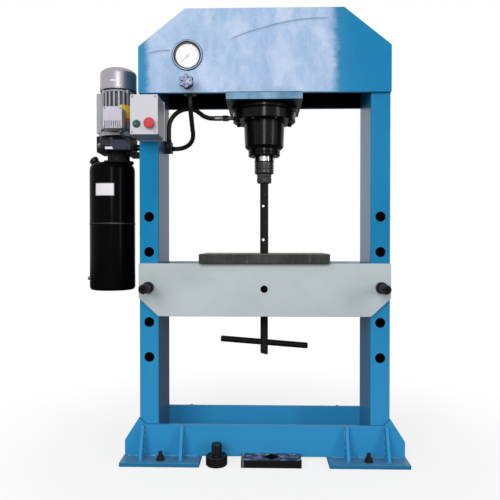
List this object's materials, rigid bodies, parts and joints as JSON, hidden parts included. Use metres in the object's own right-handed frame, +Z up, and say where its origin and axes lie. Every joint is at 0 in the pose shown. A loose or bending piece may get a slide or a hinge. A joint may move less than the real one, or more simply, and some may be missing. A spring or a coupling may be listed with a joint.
{
  "type": "hydraulic shop press",
  "caption": "Floor-standing H-frame hydraulic press with an electric power pack, a pinned bolster, a lift-off table and loose pressing tools.",
  "frame": {"origin": "on the floor, in the middle of the whole object's footprint", "axes": "+Z up, -Y towards the operator, +X to the operator's right"},
  "size_m": [1.3038, 0.4982, 1.786],
  "materials": {
    "frame_paint": "gloss blue paint",
    "gauge_paint": "dark ring, pale dial",
    "bolster_paint": "satin light grey paint",
    "cylinder_paint": "gloss black paint",
    "tank_paint": "gloss black paint",
    "chrome": "polished",
    "black_oxide": "blackened steel",
    "dark_steel": "oiled dark steel",
    "bright_steel": "bare steel",
    "zinc": "yellowish zinc plating",
    "motor_casting": "satin silver-grey",
    "cowl_paint": "satin silver-grey paint",
    "pale_plastic": "light grey, fine texture",
    "green_plastic": "gloss green",
    "red_plastic": "gloss red",
    "slate_plastic": "dark slate blue",
    "black_plastic": "black",
    "glass": "clear",
    "rubber": "black, slight sheen"
  },
  "bodies": {
    "press_frame": {"post_left": "frame_paint", "post_right": "frame_paint", "crosshead_front_plate": "frame_paint", "crosshead_back_plate": "frame_paint", "crosshead_top_cover": "frame_paint", "crosshead_cradle": "frame_paint", "cylinder_mount_plate": "frame_paint", "base_front_beam": "frame_paint", "base_back_beam": "frame_paint", "foot_left": "frame_paint", "foot_right": "frame_paint", "power_pack_bracket": "frame_paint", "gauge_case": "gauge_paint", "bolster_front_plate": "bolster_paint", "bolster_back_plate": "bolster_paint", "bolster_web_left": "bolster_paint", "bolster_web_right": "bolster_paint", "cylinder_barrel": "cylinder_paint", "cylinder_gland": "cylinder_paint", "oil_tank": "tank_paint", "hose_block": "black_oxide", "anchor_bolt_front_left": "dark_steel", "anchor_bolt_front_right": "dark_steel", "anchor_bolt_back_left": "dark_steel", "anchor_bolt_back_right": "dark_steel", "valve_body": "bright_steel", "drain_plug": "bright_steel", "cylinder_port_fitting": "zinc", "motor_frame": "motor_casting", "pump_manifold": "motor_casting", "gear_pump": "motor_casting", "motor_fan_cowl": "cowl_paint", "control_box_base": "pale_plastic", "control_box_lid": "pale_plastic", "motor_terminal_box": "pale_plastic", "solenoid_valve": "slate_plastic", "gauge_glass": "glass", "hose_to_cylinder": "rubber", "hose_to_valve": "rubber", "motor_cable": "rubber"},
    "ram": {"piston_ram": "chrome", "ram_collar": "black_oxide", "rod_nut": "dark_steel"},
    "lifting_rod": {"lifting_rod": "dark_steel"},
    "lifting_bar": {"lifting_bar": "black_oxide"},
    "pin_left": {"pin_left": "dark_steel"},
    "pin_right": {"pin_right": "dark_steel"},
    "valve_handwheel": {"valve_handwheel": "slate_plastic"},
    "gauge_needle": {"gauge_needle": "black_plastic"},
    "start_button": {"start_button": "green_plastic"},
    "stop_button": {"stop_button": "red_plastic"},
    "motor_rotor": {"motor_rotor": "bright_steel", "motor_fan": "black_plastic", "pump_drive_gear": "bright_steel"},
    "pump_driven_gear": {"pump_driven_gear": "bright_steel"},
    "filler_cap": {"filler_cap": "black_plastic"},
    "table_plate": {"table_plate": "dark_steel"},
    "pressing_head": {"pressing_head": "dark_steel"},
    "v_block_front": {"v_block_front": "dark_steel"},
    "v_block_back": {"v_block_back": "dark_steel"}
  },
  "joints": [
    {"name": "ram_slide", "type": "slide", "parent": "press_frame", "child": "ram", "axis": [0, 0, -1], "range_m": [0, 0.2]},
    {"name": "rod_turn", "type": "hinge", "parent": "ram", "child": "lifting_rod", "pos_m": [0.0919, 0.03405, 1.15], "axis": [0, 0, 1], "continuous": true},
    {"name": "bar_slide", "type": "slide", "parent": "lifting_rod", "child": "lifting_bar", "axis": [0.9969, 0, -0.0785], "range_m": [-0.13, 0.13]},
    {"name": "pin_left_slide", "type": "slide", "parent": "press_frame", "child": "pin_left", "axis": [0, -1, 0], "range_m": [0, 0.3]},
    {"name": "pin_right_slide", "type": "slide", "parent": "press_frame", "child": "pin_right", "axis": [0, -1, 0], "range_m": [0, 0.3]},
    {"name": "valve_turn", "type": "hinge", "parent": "press_frame", "child": "valve_handwheel", "pos_m": [-0.2081, -0.15595, 1.485], "axis": [0, 1, 0], "range_deg": [0, 1080]},
    {"name": "needle_turn", "type": "hinge", "parent": "press_frame", "child": "gauge_needle", "pos_m": [-0.2111, -0.10595, 1.602], "axis": [0, 1, 0], "range_deg": [0, 270], "stiffness_Nm_per_rad": 0.0004},
    {"name": "start_press", "type": "slide", "parent": "press_frame", "child": "start_button", "axis": [0, 1, 0], "range_m": [0, 0.004], "stiffness_N_per_m": 400},
    {"name": "stop_press", "type": "slide", "parent": "press_frame", "child": "stop_button", "axis": [0, 1, 0], "range_m": [0, 0.005], "stiffness_N_per_m": 400},
    {"name": "motor_spin", "type": "hinge", "parent": "press_frame", "child": "motor_rotor", "pos_m": [-0.5201, 0.03405, 1.4], "axis": [0, 0, 1], "continuous": true},
    {"name": "driven_gear_spin", "type": "hinge", "parent": "press_frame", "child": "pump_driven_gear", "pos_m": [-0.5443, 0.03405, 1.13], "axis": [0, 0, 1], "continuous": true},
    {"name": "filler_cap_turn", "type": "hinge", "parent": "press_frame", "child": "filler_cap", "pos_m": [-0.6011, 0.03405, 1.184], "axis": [-0.682, 0, 0.7314], "range_deg": [0, 360]},
    {"name": "table_lift", "type": "slide", "parent": "press_frame", "child": "table_plate", "axis": [0, 0, 1], "range_m": [0, 0.06]},
    {"name": "pressing_head_lift", "type": "slide", "parent": "press_frame", "child": "pressing_head", "axis": [0, 0, 1], "range_m": [0, 0.1]},
    {"name": "v_block_front_lift", "type": "slide", "parent": "press_frame", "child": "v_block_front", "axis": [0, 0, 1], "range_m": [0, 0.1]},
    {"name": "v_block_back_lift", "type": "slide", "parent": "press_frame", "child": "v_block_back", "axis": [0, 0, 1], "range_m": [0, 0.1]}
  ],
  "couplings": [
    {"joint": "driven_gear_spin", "follows": "motor_spin", "ratio": -1}
  ]
}
